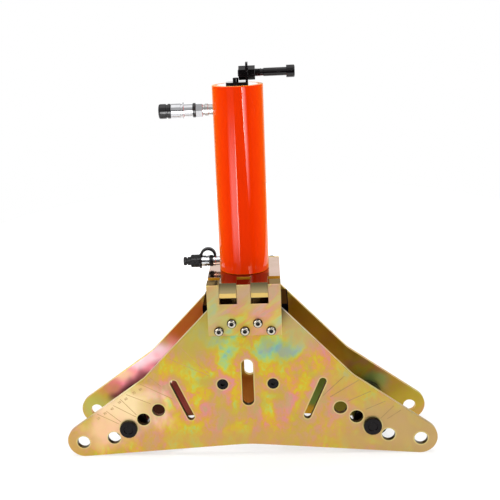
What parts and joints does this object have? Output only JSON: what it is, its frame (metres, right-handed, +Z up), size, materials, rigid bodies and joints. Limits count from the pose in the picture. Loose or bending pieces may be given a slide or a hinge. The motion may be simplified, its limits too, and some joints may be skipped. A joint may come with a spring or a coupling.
{
  "type": "hydraulic pipe and busbar bender",
  "caption": "Upright hydraulic pipe and busbar bender: a cylinder over two winged side plates pushes a wedge former down between rollers on removable pins.",
  "frame": {"origin": "on the floor under the cylinder's axis, midway between the two side plates and between their feet", "axes": "+X along the side plates to the stop bolt's side, +Y from the hinged front plate to the rear plate, +Z up along the cylinder's axis"},
  "size_m": [0.574, 0.171, 0.5986],
  "materials": {
    "zinc_gold": "yellow zinc plate, satin",
    "zinc_polished": "ground and zinc plated, reflecting",
    "orange_paint": "gloss",
    "black_steel": "black oxide, satin",
    "bright_steel": "bright",
    "chrome": "polished",
    "black_rubber": "semi-gloss",
    "seal_rubber": "matte",
    "wear_plastic": "matte",
    "bush_bronze": "satin"
  },
  "bodies": {
    "frame": {"front_plate": "zinc_gold", "rear_plate": "zinc_gold", "guide_strips": "zinc_gold", "guide_strip_screws": "black_steel", "hinge_bracket": "zinc_gold", "bracket_screws": "bright_steel", "hinge_pin": "bright_steel", "cylinder_flange": "zinc_polished", "rear_screws": "black_steel", "barrel": "orange_paint", "top_cap": "bright_steel", "top_cap_seal": "seal_rubber", "gland": "bright_steel", "wiper": "seal_rubber", "rod_seal": "seal_rubber", "gland_seal": "seal_rubber", "stop_bracket": "black_steel", "stop_bracket_screw": "black_steel", "stop_bolt": "black_steel", "stop_nuts": "black_steel", "upper_adaptor": "bright_steel", "upper_coupler_body": "chrome", "upper_bumper_ring": "black_rubber", "lower_coupler": "chrome"},
    "ram": {"piston": "bright_steel", "piston_seal": "seal_rubber", "wear_ring": "wear_plastic", "stop_tube": "bright_steel", "piston_rod": "chrome", "former": "black_steel", "former_screw": "black_steel"},
    "pin_left": {"bending_pin_left": "black_steel"},
    "pin_right": {"bending_pin_right": "black_steel"},
    "roller_left": {"roller_left": "black_steel", "roller_bushes_left": "bush_bronze"},
    "roller_right": {"roller_right": "black_steel", "roller_bushes_right": "bush_bronze"},
    "sleeve": {"locking_sleeve": "chrome"},
    "plug": {"dust_plug": "black_rubber"},
    "cap": {"dust_cap": "black_rubber"}
  },
  "joints": [
    {"name": "ram_stroke", "type": "slide", "parent": "frame", "child": "ram", "axis": [0, 0, -1], "range_m": [0, 0.15]},
    {"name": "roller_left_spin", "type": "hinge", "parent": "frame", "child": "roller_left", "pos_m": [-0.18851, 0, 0.04687], "axis": [0, 1, 0], "continuous": true},
    {"name": "roller_right_spin", "type": "hinge", "parent": "frame", "child": "roller_right", "pos_m": [0.18851, 0, 0.04687], "axis": [0, 1, 0], "continuous": true},
    {"name": "pin_left_pull", "type": "slide", "parent": "frame", "child": "pin_left", "axis": [0, -1, 0], "range_m": [0, 0.145]},
    {"name": "pin_right_pull", "type": "slide", "parent": "frame", "child": "pin_right", "axis": [0, -1, 0], "range_m": [0, 0.145]},
    {"name": "sleeve_slide", "type": "slide", "parent": "frame", "child": "sleeve", "axis": [1, 0, 0], "range_m": [0, 0.006], "stiffness_N_per_m": 800, "springref_m": -0.002},
    {"name": "plug_pull", "type": "slide", "parent": "frame", "child": "plug", "axis": [-1, 0, 0], "range_m": [0, 0.03]},
    {"name": "cap_turn", "type": "hinge", "parent": "frame", "child": "cap", "pos_m": [-0.06, 0, 0.2999], "axis": [1, 0, 0], "range_deg": [-95, 95]}
  ]
}
